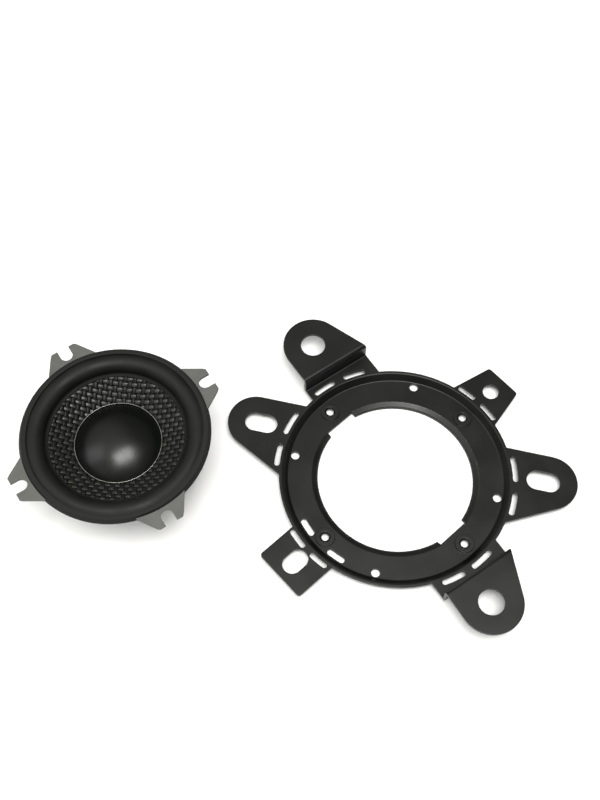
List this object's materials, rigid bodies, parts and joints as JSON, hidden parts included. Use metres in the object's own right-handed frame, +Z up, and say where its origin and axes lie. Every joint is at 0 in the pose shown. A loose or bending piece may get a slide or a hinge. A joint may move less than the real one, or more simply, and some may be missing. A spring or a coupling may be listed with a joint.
{
  "type": "car loudspeaker driver with mounting bracket",
  "caption": "Small round car loudspeaker driver with a domed woven cone, rubber roll and slotted ears, beside its flat pressed ring bracket with radiating screw arms.",
  "frame": {"origin": "middle of the laid-out pair's footprint, on the table both pieces lie on", "axes": "+Z up, along the driver's sound axis; +X from the driver towards the bracket, along two of the bracket's plain holes; +Y along the other two"},
  "size_m": [0.2028, 0.1108, 0.0371],
  "materials": {
    "frame_metal": "satin light-grey plated pressing",
    "rim_rubber": "matte moulded rubber",
    "surround_rubber": "matte moulded rubber",
    "woven_cone": "resin-bonded woven fibre",
    "dome": "satin-gloss black",
    "former_foil": "thin rolled foil with a bright cut edge",
    "coil_wire": "enamelled copper wire, packed turns",
    "spider_cloth": "resin-dipped cloth",
    "plated_steel": "zinc plated",
    "magnet_nickel": "nickel plated neodymium",
    "rivet_steel": "plated",
    "board_plastic": "paper-filled laminate",
    "tab_metal": "tinned brass strip",
    "lead_braid": "braided tinsel cord",
    "bracket_coat": "satin black dip coat on sheet steel"
  },
  "bodies": {
    "driver_frame": {"basket": "frame_metal", "rim_gasket": "rim_rubber", "surround": "surround_rubber", "spider": "spider_cloth", "pole_plate": "plated_steel", "magnet_disc": "magnet_nickel", "motor_cup": "plated_steel", "basket_rivets": "rivet_steel", "terminal_board": "board_plastic", "terminal_tab_wide": "tab_metal", "terminal_tab_narrow": "tab_metal", "tab_eyelets": "rivet_steel", "board_rivets": "rivet_steel", "lead_wide": "lead_braid", "lead_narrow": "lead_braid"},
    "cone_assembly": {"cone": "woven_cone", "dust_cap": "dome", "coil_former": "former_foil", "coil_winding": "coil_wire"},
    "bracket": {"bracket": "bracket_coat"}
  },
  "joints": [
    {"name": "cone_travel", "type": "slide", "parent": "driver_frame", "child": "cone_assembly", "axis": [0, 0, 1], "range_m": [-0.0025, 0.0025], "stiffness_N_per_m": 2000, "deforming": ["surround", "spider", "lead_wide", "lead_narrow"]},
    {"name": "bracket_lift", "type": "slide", "parent": "driver_frame", "child": "bracket", "axis": [0, 0, 1], "range_m": [0, 0.06]}
  ]
}
